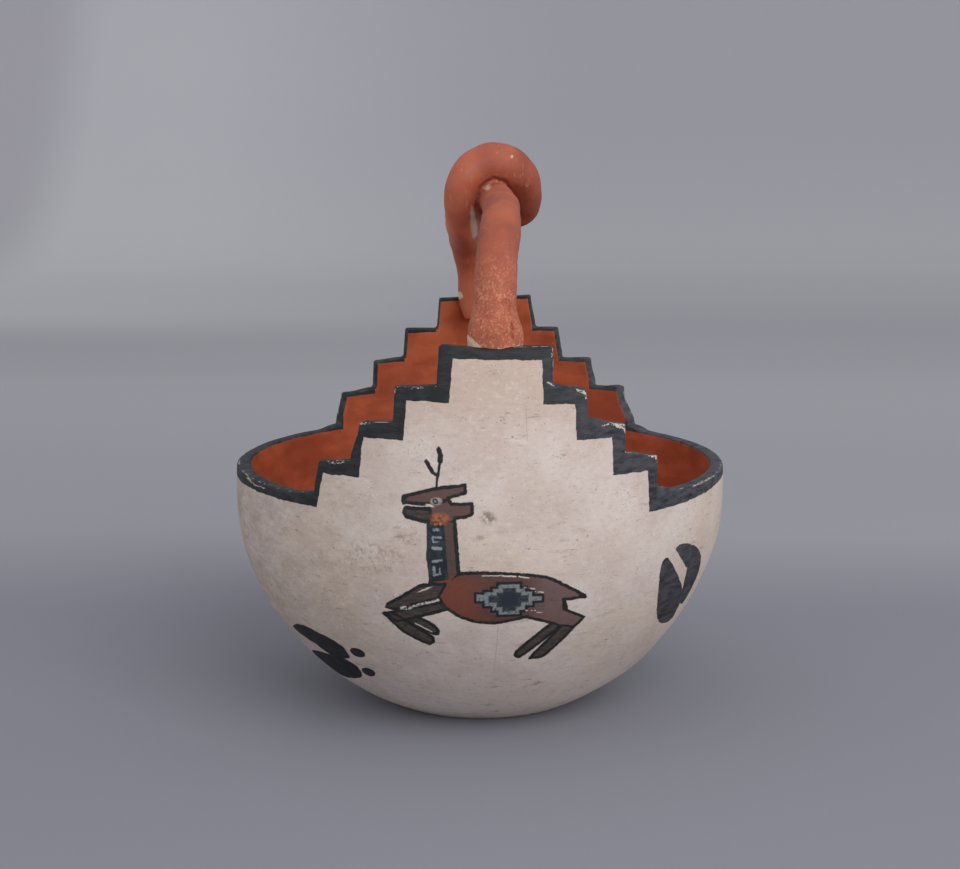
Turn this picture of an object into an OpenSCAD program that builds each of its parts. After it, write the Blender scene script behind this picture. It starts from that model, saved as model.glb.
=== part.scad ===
// Small clay bowl with a stepped rim and one roll of clay for a handle.
// The handle rises from the front peak, turns once through its own loop,
// and comes down on the back peak. All of it is one piece of fired clay.
// Millimetres, +Z up, origin at the middle of the flat foot, front at -Y.

/* [Bowl] */
// Greatest radius of the bowl, at the belly
belly_r = 70.2; // [60:0.1:80]
// Height of the belly above the table
belly_z = 60; // [54:0.5:66]
// Radius of the flat foot
foot_r = 27; // [20:0.5:34]
// Fullness of the outside below the belly, 2 is an ellipse
outer_fullness = 1.9; // [1.7:0.05:2.3]
// Fullness of the inside below the belly
inner_fullness = 2.1; // [1.9:0.05:2.4]
// Thickness of the wall
wall_t = 4; // [3:0.1:6]
// Thickness of the floor
floor_t = 5; // [4:0.1:8]
// How much the wall leans in above the belly, as a share of the radius, at the peaks
peak_lean = 0.11; // [0.05:0.01:0.2]

/* [Rim] */
// Height of the low rim above the table
rim_z = 70; // [66:0.5:76]
// Height of one step of the rim
step_h = 10.1; // [8:0.1:12]
// Half of the angle that a peak takes, seen from above
peak_half_angle = 13.8; // [11:0.2:17]
// Angle that each lower step adds on each side
step_angle = 9; // [7:0.2:10]
// Angle by which the front peak lies to the right of the true front
front_turn = 2.7; // [-4:0.1:5]
// Angle by which the back peak lies to the right of the true back, seen from the front
back_turn = 0.9; // [-4:0.1:5]
// Height of the rounding along the rim's edges
lip_round = 1.2; // [0.5:0.1:2]

/* [Handle] */
// Radius of the clay roll where it is plain
roll_r = 5.2; // [4.4:0.1:6]
// Half width of the pressed foot of the roll
foot_half_w = 7.4; // [6.5:0.1:9]
// Height of the middle of the loop above the peaks
loop_rise = 36.3; // [32:0.1:42]
// Radius of the loop at the middle of the roll
loop_r = 9.3; // [9:0.1:11]
// How far the loop's middle lies to the right of the bowl's axis
loop_x = 3.8; // [0:0.2:6]
// How deep the roll's feet reach down inside each peak
foot_depth = 8; // [6:0.5:10]
// How far the front foot lies to the right of the bowl's axis
front_x = 3.8; // [0:0.2:6]
// How far the back foot lies to the left of the bowl's axis, as a negative number
back_x = -0.8; // [-4:0.2:2]

/* [Hidden] */
$fn = 96;
steps = 4;
peak_z = rim_z + steps * step_h;
profile_points = 28;
lip_points = 8;
lip_shape = 3;
lip_clear = 0.6;
cut_clear = 3;
roll_sides = 16;
samples_per_span = 4;

// Semi-axis of the outside curve below the belly, so that it meets the foot
outer_drop = belly_z / pow(1 - pow(foot_r / belly_r, outer_fullness), 1 / outer_fullness);
inner_r = belly_r - wall_t;
inner_drop = belly_z - floor_t;
// Semi-axis of the curve above the belly, from the lean at the peaks
rise_axis = (peak_z - belly_z) / sqrt(1 - pow(1 - peak_lean, 2));

function curve_r(r, drop, fullness, z) = r * pow(1 - pow((belly_z - z) / drop, fullness), 1 / fullness);
function upper_r(r, z) = r * sqrt(1 - pow((z - belly_z) / rise_axis, 2));
function outer_at(z) = z < belly_z ? curve_r(belly_r, outer_drop, outer_fullness, z) : upper_r(belly_r, z);
function inner_at(z) = z < belly_z ? curve_r(inner_r, inner_drop, inner_fullness, z)
                                   : upper_r(belly_r, z) - wall_t;

// Spacing that is finer towards the floor, where the curve turns most
function eased(i, n) = 1 - cos(90 * i / n);

module wall_section() {
    below = [for (i = [0:profile_points]) belly_z * eased(i, profile_points)];
    above = [for (i = [1:profile_points / 2]) belly_z + (peak_z - belly_z) * 2 * i / profile_points];
    inside_below = [for (i = [profile_points:-1:1]) floor_t + inner_drop * eased(i, profile_points)];
    polygon(concat(
        [[0, 0]],
        [for (z = below) [outer_at(z), z]],
        [for (z = above) [outer_at(z), z]],
        [for (i = [len(above) - 1:-1:0]) [inner_at(above[i]), above[i]]],
        [for (z = inside_below) [inner_at(z), z]],
        [[0, floor_t]]
    ));
}

// Section of what is cut away above one level of the rim, its lower side
// hollowed so that the clay it leaves has rounded edges
module above_level(z) {
    half = wall_t / 2 + lip_clear;
    mid = (outer_at(z) + inner_at(z)) / 2;
    lip = [for (i = [-lip_points:lip_points]) let (t = i / lip_points)
        [mid + half * t, z - lip_round * pow(abs(t), lip_shape)]];
    polygon(concat(
        [[mid - half - cut_clear, z - lip_round]],
        lip,
        [[mid + half + cut_clear, z - lip_round]],
        [[mid + half + cut_clear + step_h, peak_z + cut_clear]],
        [[mid - half - cut_clear - step_h, peak_z + cut_clear]]
    ));
}

// Everything above one level, on one side of the bowl, between the two stairs
module side_cut(level, side) {
    stair_angle = peak_half_angle + (steps - 1 - level) * step_angle;
    right = side > 0;
    from = right ? front_turn + stair_angle - 90 : 90 - back_turn + stair_angle;
    to = right ? 90 - back_turn - stair_angle : 270 + front_turn - stair_angle;
    rotate([0, 0, from])
        rotate_extrude(angle = to - from)
            above_level(rim_z + level * step_h);
}

module bowl() {
    difference() {
        rotate_extrude() wall_section();
        for (level = [0:steps - 1], side = [-1, 1]) side_cut(level, side);
        rotate_extrude() above_level(peak_z);
    }
}

// The roll's route: [x, y, z, half width, half depth]. The feet are set from
// the peaks, the loop from its own middle and radius. Below the peaks the
// roll thins out inside the wall, where the potter smeared it down.
seat_y = outer_at(peak_z) - roll_r;
root_y = outer_at(peak_z - foot_depth) - wall_t / 2;
tip_y = outer_at(peak_z - 2 * foot_depth) - wall_t / 2;
loop_z = peak_z + loop_rise;
band_r = roll_r * 0.9;
pass_r = roll_r * 0.83;
tuck_r = roll_r * 0.77;
arc_step = 40;
// The curve runs inside its guide points, so on an arc they lie further out
arc_stretch = 3 / (2 + cos(arc_step));
tuck_turn_r = arc_stretch * (loop_r / 2 + 0.5);
tuck_y = 10;
tuck_drop = 4.2;
tuck_tilt = 40;

function on_loop(a, y) = [
    loop_x + arc_stretch * loop_r * cos(a), y, loop_z + arc_stretch * loop_r * sin(a), band_r, band_r];

// The half turn behind the loop, tilted down towards the back
function on_tuck(a) = [
    loop_x + loop_r / 2 + tuck_turn_r * cos(a),
    tuck_y + tuck_turn_r * sin(a) * cos(tuck_tilt),
    loop_z - tuck_drop - tuck_turn_r * sin(a) * sin(tuck_tilt),
    tuck_r, tuck_r];

FRONT_LEG = [
    [front_x, -tip_y, peak_z - 2 * foot_depth, foot_half_w * 0.5, wall_t * 0.2],
    [front_x, 1 - root_y, peak_z - foot_depth, foot_half_w * 0.85, wall_t * 0.8],
    [front_x, -seat_y - 0.2, peak_z + 0.5, foot_half_w + 0.4, roll_r],
    [front_x - 0.5, -seat_y + 0.5, peak_z + 10, roll_r + 0.7, roll_r + 0.2],
    [front_x + 0.3, -seat_y + 5, peak_z + 21, roll_r + 0.4, roll_r],
    [front_x + 1.8, -seat_y + 16, loop_z - 7, roll_r + 0.2, roll_r],
    [front_x + 2.6, -seat_y + 30, loop_z - 3, roll_r, roll_r],
    [loop_x + 1.4, -13, loop_z - 1, pass_r, pass_r],
    [loop_x + 0.1, 0, loop_z - 0.6, pass_r, pass_r]
];
TUCK = [for (i = [0:4]) on_tuck(170 - i * arc_step)];
LOOP_Y = [4.6, 2.2, 0.5, -1, -0.5];
LOOP = [for (i = [0:4]) on_loop(10 + i * arc_step, LOOP_Y[i])];
BACK_LEG = [
    [loop_x - loop_r + 0.2, 4, loop_z - 6.5, band_r, band_r],
    [back_x - 4.4, 13, loop_z - 10, roll_r, roll_r],
    [back_x - 4.8, seat_y - 17, loop_z - 13, roll_r, roll_r],
    [back_x - 3.4, seat_y - 4, peak_z + 16, roll_r, roll_r],
    [back_x - 0.4, seat_y + 0.2, peak_z + 7, roll_r + 0.2, roll_r],
    [back_x, seat_y, peak_z + 0.5, foot_half_w - 0.8, roll_r],
    [back_x, root_y - 1, peak_z - foot_depth, foot_half_w * 0.8, wall_t * 0.8],
    [back_x, tip_y, peak_z - 2 * foot_depth, foot_half_w * 0.5, wall_t * 0.2]
];
ROUTE = concat(FRONT_LEG, TUCK, LOOP, BACK_LEG);

// A smooth curve that is guided by the route's points
function guide(i) = ROUTE[max(0, min(len(ROUTE) - 1, i))];
function blended(i, t) =
    (pow(1 - t, 3) * guide(i - 1) + (3 * pow(t, 3) - 6 * t * t + 4) * guide(i)
    + (-3 * pow(t, 3) + 3 * t * t + 3 * t + 1) * guide(i + 1) + pow(t, 3) * guide(i + 2)) / 6;
PATH = concat(
    [for (i = [0:len(ROUTE) - 2], k = [0:samples_per_span - 1]) blended(i, k / samples_per_span)],
    [ROUTE[len(ROUTE) - 1]]
);
function place(p) = [p[0], p[1], p[2]];
function unit(v) = v / norm(v);
function heading(i) = unit(place(PATH[min(i + 1, len(PATH) - 1)]) - place(PATH[max(i - 1, 0)]));

// Each ring's side direction, carried along the path without twisting
function carried(i, side) = let (t = heading(i)) unit(side - t * (side * t));
function sides_from(i, side) = i >= len(PATH) ? []
    : let (here = carried(i, side)) concat([here], sides_from(i + 1, here));
SIDES = sides_from(0, [1, 0, 0]);

module roll() {
    rings = [for (i = [0:len(PATH) - 1], k = [0:roll_sides - 1])
        let (a = 360 * k / roll_sides, s = SIDES[i], u = cross(heading(i), s))
        place(PATH[i]) + s * PATH[i][3] * cos(a) + u * PATH[i][4] * sin(a)];
    end_ring = len(rings) - roll_sides;
    walls = [for (i = [0:len(PATH) - 2], k = [0:roll_sides - 1])
        let (j = (k + 1) % roll_sides, o = i * roll_sides)
        [o + k, o + k + roll_sides, o + j + roll_sides, o + j]];
    start_cap = [for (k = [0:roll_sides - 1]) k];
    end_cap = [for (k = [roll_sides - 1:-1:0]) end_ring + k];
    polyhedron(points = rings, faces = concat(walls, [start_cap], [end_cap]));
}

module pot() {
    color("tan") union() {
        bowl();
        roll();
    }
}

pot();
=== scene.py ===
# %% [markdown]
# A hand-built clay pot. It is one piece of fired clay: a round bowl whose wall climbs in steps to a peak at the
# front and at the back, and a thick roll of clay that joins the two peaks and loops round itself in the middle.
# In the visual model it becomes two pieces, the bowl and the roll, because they are shaped in quite different
# ways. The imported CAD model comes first, as the fixed frame that both pieces stay inside.

# %% The frame
import math

from functools import reduce

import bmesh
import bpy
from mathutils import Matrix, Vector


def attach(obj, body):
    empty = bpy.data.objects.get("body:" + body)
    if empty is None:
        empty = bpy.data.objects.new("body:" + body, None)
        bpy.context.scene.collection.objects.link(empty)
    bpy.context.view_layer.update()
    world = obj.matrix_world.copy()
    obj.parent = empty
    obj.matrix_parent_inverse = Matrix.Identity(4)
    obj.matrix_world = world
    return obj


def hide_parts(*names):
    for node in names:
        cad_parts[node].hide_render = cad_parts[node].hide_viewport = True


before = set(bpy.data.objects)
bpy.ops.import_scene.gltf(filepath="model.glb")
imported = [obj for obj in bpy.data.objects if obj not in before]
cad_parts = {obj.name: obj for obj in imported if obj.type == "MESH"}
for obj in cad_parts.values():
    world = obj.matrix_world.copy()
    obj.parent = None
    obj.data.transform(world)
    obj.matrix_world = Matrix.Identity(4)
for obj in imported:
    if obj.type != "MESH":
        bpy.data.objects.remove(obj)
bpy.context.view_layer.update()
MM = 0.001


# %% [markdown]
# The camera stands where the photographer stood: a little over half a metre in front of the pot, and about ten
# degrees above it. The lens follows from how wide the pot is in the picture at that distance.

# %% The camera
CAMERA_DISTANCE = 566.5
CAMERA_LIFT = math.radians(10.21)
AIM_HEIGHT = 76.74
SENSOR_WIDTH, LENS, NEAREST = 36, 73.43, 0.01

bpy.ops.object.camera_add(
    location=(
        0,
        -CAMERA_DISTANCE * math.cos(CAMERA_LIFT) * MM,
        (AIM_HEIGHT + CAMERA_DISTANCE * math.sin(CAMERA_LIFT)) * MM,
    ),
    rotation=(math.radians(90) - CAMERA_LIFT, 0, 0),
)
camera = bpy.context.object
camera.data.sensor_fit = "HORIZONTAL"
camera.data.sensor_width = SENSOR_WIDTH
camera.data.lens = LENS
camera.data.clip_start = NEAREST
bpy.context.scene.camera = camera
print("The camera is at", [round(side, 3) for side in camera.location])


# %% [markdown]
# The wall of the bowl follows two curves. Below the belly it is a quarter of a superellipse, which is a little
# fuller than a true ellipse, and above it the wall leans in again along an ellipse, up to the peaks. The inside
# has a curve of its own, so that the floor is thicker than the wall. These are the CAD model's own sizes.

# %% The curves of the wall
BELLY_R, BELLY_Z, FOOT_R = 70.2, 60.0, 27.0
OUTER_FULLNESS, INNER_FULLNESS = 1.9, 2.1
WALL, FLOOR = 4.0, 5.0
RIM_Z, STEP = 70.0, 10.1
PEAK_Z = RIM_Z + 4 * STEP
PEAK_LEAN = 0.11
OUTER_DROP = BELLY_Z / (1 - (FOOT_R / BELLY_R) ** OUTER_FULLNESS) ** (1 / OUTER_FULLNESS)
RISE_AXIS = (PEAK_Z - BELLY_Z) / math.sqrt(1 - (1 - PEAK_LEAN) ** 2)


def lower_curve(radius, drop, fullness, start, rows):
    """Points (radius, height) of a wall below the belly. The turn is 90 degrees straight down and 0 at the belly."""
    turns = [math.radians(start) * (1 - row / rows) for row in range(rows)]
    return [
        (radius * math.cos(t) ** (2 / fullness), BELLY_Z - drop * math.sin(t) ** (2 / fullness))
        for t in turns
    ]


def outer_radius(height):
    """Radius of the outside of the wall above the belly."""
    return BELLY_R * math.sqrt(1 - ((height - BELLY_Z) / RISE_AXIS) ** 2)


foot_turn = math.degrees(math.acos((FOOT_R / BELLY_R) ** (OUTER_FULLNESS / 2)))
tall_rows = [BELLY_Z + 2 * row for row in range(5)] + [RIM_Z + STEP * row / 5 for row in range(21)]
outside = [(0, 0), (6, 0), (12, 0), (18, 0), (23, 0)]
outside += lower_curve(BELLY_R, OUTER_DROP, OUTER_FULLNESS, foot_turn, 30)
outside += [(outer_radius(z), z) for z in tall_rows]
inside = lower_curve(BELLY_R - WALL, BELLY_Z - FLOOR, INNER_FULLNESS, 90, 34)
inside += [(outer_radius(z) - WALL, z) for z in tall_rows]
print("The wall is drawn with", len(outside), "points outside and", len(inside), "inside")


# %% [markdown]
# The edges of the steps stand at angles that were read off the photo, because the potter cut them by eye: no
# two steps are quite alike. Angles are in degrees from the front, and grow to the right and on round the back.
# Each row gives the angle of an edge, how many steps high the wall is beyond it, and then how far the edge's top
# corner and its foot stray from that, along the rim and upwards, in millimetres.

# %% The edges of the steps
EDGES = [
    (-38.5, 1, (0.5, -0.4), (-0.6, 1.2)),
    (-28.2, 2, (0.7, 0.6), (-1.2, 0.4)),
    (-19.3, 3, (-0.7, 0.3), (-0.5, 1.2)),
    (-9.5, 4, (-0.5, 0.7), (-0.7, 0.8)),
    (17.2, 3, (0.6, 0.0), (-0.4, 0.6)),
    (24.7, 2, (0.5, -0.8), (0.1, 1.8)),
    (33.7, 1, (1.0, -0.3), (0.0, 2.3)),
    (42.4, 0, (0.8, 0.3), (0.1, 1.9)),
    (137.5, 1, (1.3, 2.9), (-2.5, 1.3)),
    (148.4, 2, (-0.1, 1.2), (-1.3, 2.2)),
    (157.4, 3, (0.0, 0.5), (-0.7, 0.6)),
    (164.8, 4, (0.0, 0.8), (-0.9, 0.2)),
    (191.9, 3, (0.4, -0.3), (0.6, -0.1)),
    (201.3, 2, (0.4, 0.2), (0.4, 0.9)),
    (209.6, 1, (0.9, 0.2), (0.7, 1.7)),
    (219.5, 0, (0.3, 0.9), (1.8, 1.1)),
]
SEAM, ROUND = -90.0, 270.0
COLUMN = 1.25
WELD = 0.002


def spot_on(radius, angle, height):
    """A place on a round of that radius, in metres."""
    turn = math.radians(angle)
    return Vector((radius * math.sin(turn), -radius * math.cos(turn), height)) * MM


def steps_at(angle):
    """How many steps high the wall is at that angle."""
    return [0, *(row[1] for row in EDGES if row[0] < angle)][-1]


print("The wall is", steps_at(0), "steps high at the front and", steps_at(90), "at the side")


# %% [markdown]
# The wall is drawn as a chain of points at the left side, where the rim is low, each one extruded from the last.
# A chain starts as a tiny plane that is merged to a single point.

# %% A chain of points
def start_mesh(name):
    """A new mesh of one point at the origin, in edit mode."""
    bpy.ops.object.select_all(action="DESELECT")
    bpy.ops.mesh.primitive_plane_add(size=MM)
    bpy.context.object.name = name
    bpy.ops.object.mode_set(mode="EDIT")
    bpy.ops.mesh.select_all(action="SELECT")
    bpy.ops.mesh.merge(type="CENTER")
    return bpy.context.object


def draw_chain(points):
    """Moves the selected point to the first place, then extrudes it from place to place."""
    bpy.ops.transform.translate(value=points[0])
    for last, place in zip(points, points[1:]):
        bpy.ops.mesh.extrude_region_move(TRANSFORM_OT_translate={"value": place - last})


def pick(wanted, kind="faces"):
    """In edit mode, selects the faces, edges or vertices for which wanted says yes."""
    bpy.ops.mesh.select_all(action="DESELECT")
    bpy.ops.mesh.select_mode(type={"faces": "FACE", "edges": "EDGE", "verts": "VERT"}[kind])
    shape = bmesh.from_edit_mesh(bpy.context.object.data)
    chosen = [part for part in getattr(shape, kind) if wanted(part)]
    for part in chosen:
        part.select_set(True)
    shape.select_flush_mode()
    bmesh.update_edit_mesh(bpy.context.object.data)
    return len(chosen)


def polar(place):
    """Radius in mm, angle in degrees from the seam on, and height in mm."""
    angle = math.degrees(math.atan2(place.x, -place.y))
    return math.hypot(place.x, place.y) / MM, (angle - SEAM) % 360 + SEAM, place.z / MM


bowl = start_mesh("bowl")
draw_chain([spot_on(r, SEAM, z) for r, z in outside])
bpy.ops.mesh.primitive_plane_add(size=MM)
bpy.ops.mesh.merge(type="CENTER")
draw_chain([spot_on(r, SEAM, z) for r, z in inside])
print("The chains have", len(bmesh.from_edit_mesh(bowl.data).verts), "points")


# %% [markdown]
# Both chains are spun round the pot's axis together. The spin stops at each edge of a step and goes on from
# there, so every edge gets a column of points of its own, and the steps can be cut without slicing any face.

# %% Spinning the wall
bpy.ops.mesh.select_all(action="SELECT")
stops = [SEAM, *(row[0] for row in EDGES), ROUND]
for start, stop in zip(stops, stops[1:]):
    bpy.ops.mesh.spin(
        steps=round((stop - start) / COLUMN),
        angle=math.radians(stop - start),
        center=(0, 0, 0),
        axis=(0, 0, -1),
    )
bpy.ops.mesh.select_all(action="SELECT")
bpy.ops.mesh.remove_doubles(threshold=WELD * MM)
print("The spun walls have", len(bmesh.from_edit_mesh(bowl.data).faces), "faces")


# %% [markdown]
# What stands above the steps is deleted from both walls. The two stepped borders that are left have the same
# number of points, so one bridge between them makes the top of the wall, with its treads and its risers.
# The outside, the inside and the top of the wall get a material slot each while they are easy to tell apart.

# %% Cutting the steps
def above_steps(face):
    _, angle, height = polar(face.calc_center_median())
    return height > RIM_Z + STEP * steps_at(angle)


cut_away = pick(above_steps)
bpy.ops.mesh.delete(type="FACE")
for material_slot in range(3):
    bpy.ops.object.material_slot_add()


def in_outer_wall(face):
    radius, _, height = polar(face.calc_center_median())
    if height < BELLY_Z:
        depth = (BELLY_Z - height) / (BELLY_Z - FLOOR / 2)
        middle = (BELLY_R - WALL / 2) * max(1 - depth ** 2, 0) ** 0.5
        return radius > middle or height < FLOOR / 2
    return radius > outer_radius(height) - WALL / 2


pick(lambda face: not in_outer_wall(face))
bowl.active_material_index = 1
bpy.ops.object.material_slot_assign()
bpy.ops.mesh.select_all(action="DESELECT")
bpy.ops.mesh.select_mode(type="EDGE")
bpy.ops.mesh.select_non_manifold(
    extend=False, use_wire=False, use_multi_face=False, use_non_contiguous=False, use_verts=False
)
bpy.ops.mesh.bridge_edge_loops()
bpy.ops.mesh.select_mode(type="FACE")
bowl.active_material_index = 2
bpy.ops.object.material_slot_assign()
bpy.ops.mesh.select_all(action="SELECT")
bpy.ops.mesh.normals_make_consistent(inside=False)
open_edges = sum(not edge.is_manifold for edge in bmesh.from_edit_mesh(bowl.data).edges)
print("Cut away", cut_away, "faces; open edges left:", open_edges)


# %% [markdown]
# So far every tread is level and every riser upright. Each corner of the steps is now pulled to where the
# potter's knife left it, with proportional editing, so that the wall round it follows softly. Low on the right
# the bowl was pressed a little flatter than elsewhere, and its foot stands a little to the right of its middle.

# %% The potter's knife
REACH = 10.0


def pull(wanted, way, reach):
    """Moves the points for which wanted says yes, and their neighbours less and less, by so many mm."""
    found = pick(wanted, "verts")
    bpy.ops.transform.translate(
        value=Vector(way) * MM,
        use_proportional_edit=True,
        proportional_edit_falloff="SMOOTH",
        proportional_size=reach * MM,
    )
    return found


def pull_corner(angle, height, along, up):
    """Moves both edges of the wall's top at one corner along the rim and upwards, in mm."""
    def at_corner(point):
        _, turn, z = polar(point.co)
        return abs(turn - angle) < 0.2 and abs(z - height) < 0.1

    turn = math.radians(angle)
    return pull(at_corner, (along * math.cos(turn), along * math.sin(turn), up), REACH)


def on_low_tread(point):
    """The middle of the lowest tread at the back on the right, which sank when its two corners were pulled."""
    _, turn, z = polar(point.co)
    return abs(turn - 143) < 1 and abs(z - RIM_Z - STEP) < 2.4


moved = 0
for (angle, steps, top, foot), before in zip(EDGES, [0] + [row[1] for row in EDGES]):
    high, low = max(steps, before), min(steps, before)
    moved += pull_corner(angle, RIM_Z + STEP * high, *top)
    moved += pull_corner(angle, RIM_Z + STEP * low, *foot)
pull(on_low_tread, (0, 0, 1.2), 6)
flat_side = Vector((58, -4, 27))
pushed = pull(lambda point: (point.co / MM - flat_side).length < 5, (-1.9, 0, 0), 22)
pull(lambda point: point.co.z / MM < 0.1, (0.5, 0, 0), 12)
bpy.ops.object.mode_set(mode="OBJECT")
print("Pulled", moved, "corner points into place, and pushed in", pushed, "points low on the right")


# %% [markdown]
# A bevel takes the sharpness off every edge of the steps, as a wet finger does. Then a displacement with slow,
# shallow clouds gives the wall the unevenness of a pot that never saw a wheel. It fades out towards the foot,
# which stays flat on the table.

# %% Softening the bowl
def add_modifier(kind, **settings):
    """Adds a modifier to the active object, sets it and applies it."""
    bpy.ops.object.modifier_add(type=kind)
    modifier = bpy.context.object.modifiers[-1]
    for name, value in settings.items():
        setattr(modifier, name, value)
    bpy.ops.object.modifier_apply(modifier=modifier.name)


def displace(name, size, strength, mid_level, depth=1, group=""):
    """Moves the surface in and out by procedural clouds whose lumps are about size mm across."""
    texture = bpy.data.textures.new(name, "CLOUDS")
    texture.noise_scale = size * MM
    texture.noise_depth = depth
    settings = {"texture": texture, "texture_coords": "LOCAL", "vertex_group": group}
    add_modifier("DISPLACE", strength=strength * MM, mid_level=mid_level, **settings)


def weigh(name, weight_at):
    """A vertex group whose weight is worked out from each point's place in mm."""
    piece = bpy.context.object
    group = piece.vertex_groups.new(name=name)
    for point in piece.data.vertices:
        weight = min(max(weight_at(point.co / MM), 0), 1)
        if weight:
            group.add([point.index], weight, "REPLACE")
    return name


add_modifier("BEVEL", width=0.8 * MM, segments=3, limit_method="ANGLE", angle_limit=math.radians(38))
displace("uneven wall", 24, 0.7, 0.6, group=weigh("above the foot", lambda place: place.z / 9))
bpy.ops.object.shade_smooth_by_angle(angle=math.radians(50))
print("The bowl has", len(bowl.data.polygons), "faces")


# %% [markdown]
# The roll is one long rope of clay. It stands up from the front peak, runs back, turns under itself, comes round
# in a loop that the front leg passes through, and goes down to the back peak. The route is that of the CAD model.
# Each guide point gives a place and the roll's half thickness there. The clay is thickest at the top of the ring
# and thinnest behind it, and here it is thick enough for its turns to touch, as they do on the object.

# %% The route of the roll
ROLL_R = 5.2
SEAT_Y = outer_radius(PEAK_Z) - ROLL_R
LOOP_X, LOOP_Z, LOOP_OUT = 3.8, PEAK_Z + 36.3, 13.7
PASS_R, TUCK_R = 4.7, 4.3
ARC_STEP = 40
STRETCH = 3 / (2 + math.cos(math.radians(ARC_STEP)))
TUCK_X, TUCK_Y, TUCK_DROP, TUCK_TILT = LOOP_X + 4.5, 10, 4.2, math.radians(40)
TUCK_TURN = STRETCH * 4.9


def on_loop(step, depth, thick):
    """A guide point of the ring. The ring's outside stays round wherever the roll is thicker or thinner."""
    turn = math.radians(10 + step * ARC_STEP)
    reach = STRETCH * (LOOP_OUT - thick)
    return (LOOP_X + reach * math.cos(turn), depth, LOOP_Z + reach * math.sin(turn), thick)


def on_tuck(step):
    """A guide point of the half turn behind the ring, tilted down towards the back."""
    turn = math.radians(170 - step * ARC_STEP)
    across, along = TUCK_TURN * math.cos(turn), TUCK_TURN * math.sin(turn)
    return (
        TUCK_X + across,
        TUCK_Y + along * math.cos(TUCK_TILT),
        LOOP_Z - TUCK_DROP - along * math.sin(TUCK_TILT),
        TUCK_R,
    )


FRONT_LEG = [
    (3.9, -SEAT_Y + 2, PEAK_Z - 14, 2.2),
    (4.0, -SEAT_Y + 1, PEAK_Z - 7, 4.2),
    (4.1, -SEAT_Y - 0.2, PEAK_Z + 0.5, 5.5),
    (3.7, -SEAT_Y + 0.5, PEAK_Z + 10, 5.6),
    (4.2, -SEAT_Y + 5, PEAK_Z + 21, 5.6),
    (5.3, -SEAT_Y + 16, LOOP_Z - 8, 5.5),
    (6.0, -SEAT_Y + 30, LOOP_Z - 4.2, 5.3),
    (5.4, -13, LOOP_Z - 2.5, 4.9),
    (4.2, 0, LOOP_Z - 1.8, PASS_R),
]
BACK_LEG = [
    (-4.8, 3, LOOP_Z - 6.5, 5.2),
    (-5.0, 12, LOOP_Z - 10, 5.3),
    (-4.9, SEAT_Y - 17, LOOP_Z - 13, 5.2),
    (-3.6, SEAT_Y - 4, PEAK_Z + 15, 5.1),
    (-1.2, SEAT_Y + 0.2, PEAK_Z + 7, 5.3),
    (-0.8, SEAT_Y, PEAK_Z + 0.5, 5.4),
    (-0.8, SEAT_Y - 1, PEAK_Z - 7, 3.6),
    (-0.8, SEAT_Y - 2, PEAK_Z - 14, 2.0),
]
RING = [(4.6, 5.0), (2.2, 5.5), (0.5, 5.8), (-1.0, 5.6), (-0.5, 5.2)]
route = FRONT_LEG + [on_tuck(step) for step in range(5)]
route += [on_loop(step, *row) for step, row in enumerate(RING)] + BACK_LEG
print("The route of the roll has", len(route), "guide points")


# %% [markdown]
# The guide points are drawn as a chain, which becomes a smooth curve with a round section. As a mesh, its two
# ends are pulled wide where the clay was pressed down on the peaks. Where the roll touches itself the clay has
# grown together, so a voxel remesh turns everything into one skin, and a smoothing rounds the valleys. Last, a
# crease is pressed in low on the front leg, where its right side was folded over.

# %% Rolling the clay
handle = start_mesh("handle")
draw_chain([Vector(place[:3]) * MM for place in route])
bpy.ops.object.mode_set(mode="OBJECT")
bpy.ops.object.convert(target="CURVE")
handle = bpy.context.object
bpy.ops.object.mode_set(mode="EDIT")
bpy.ops.curve.select_all(action="SELECT")
bpy.ops.curve.spline_type_set(type="NURBS")
bpy.ops.object.mode_set(mode="OBJECT")
spline = handle.data.splines[0]
spline.order_u = 4
spline.resolution_u = 8
backwards = spline.points[0].co.y > 0
for point, guide in zip(spline.points, reversed(route) if backwards else route):
    point.radius = guide[3]
handle.data.bevel_depth = MM
handle.data.bevel_resolution = 8
handle.data.use_fill_caps = True
bpy.ops.object.convert(target="MESH")
handle = bpy.context.object
bpy.ops.object.mode_set(mode="EDIT")
for foot_x, foot_y, wide in ((4.1, -SEAT_Y, 1.42), (-0.8, SEAT_Y, 1.2)):
    pick(lambda point: abs(point.co.y / MM - foot_y) < 7 and abs(point.co.z / MM - PEAK_Z) < 1.5, "verts")
    bpy.ops.transform.resize(
        value=(wide, 1, 1),
        center_override=(foot_x * MM, foot_y * MM, PEAK_Z * MM),
        use_proportional_edit=True,
        proportional_edit_falloff="SMOOTH",
        proportional_size=10 * MM,
    )
bpy.ops.object.mode_set(mode="OBJECT")
add_modifier("REMESH", mode="VOXEL", voxel_size=0.45 * MM)
add_modifier("SMOOTH", factor=0.5, iterations=6)
bpy.ops.object.mode_set(mode="EDIT")
for step in range(9):
    crease = Vector((6.8 + 0.1 * step, 0, PEAK_Z + 11 - 1.2 * step))
    pull(
        lambda point: point.co.y < -0.05 and (point.co / MM - crease).xz.length < 0.5,
        (-0.1, 0.75, 0),
        1.5,
    )
bpy.ops.object.mode_set(mode="OBJECT")
print("The roll has", len(handle.data.polygons), "faces")


# %% [markdown]
# Fingers leave slow lumps along the whole roll. The front leg has a coarse, sandy skin as well, where the
# polish has worn away.

# %% The skin of the roll
displace("finger marks", 9, 0.9, 0.55)
sandy = weigh("sandy", lambda place: min((-place.y - 44) / 6, (140 - place.z) / 10))
displace("sandy skin", 1.3, 0.35, 0.5, depth=2, group=sandy)
bpy.ops.object.shade_smooth()
print("The roll reaches up to", round(max(point.co.z for point in handle.data.vertices) / MM, 1), "mm")


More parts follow.
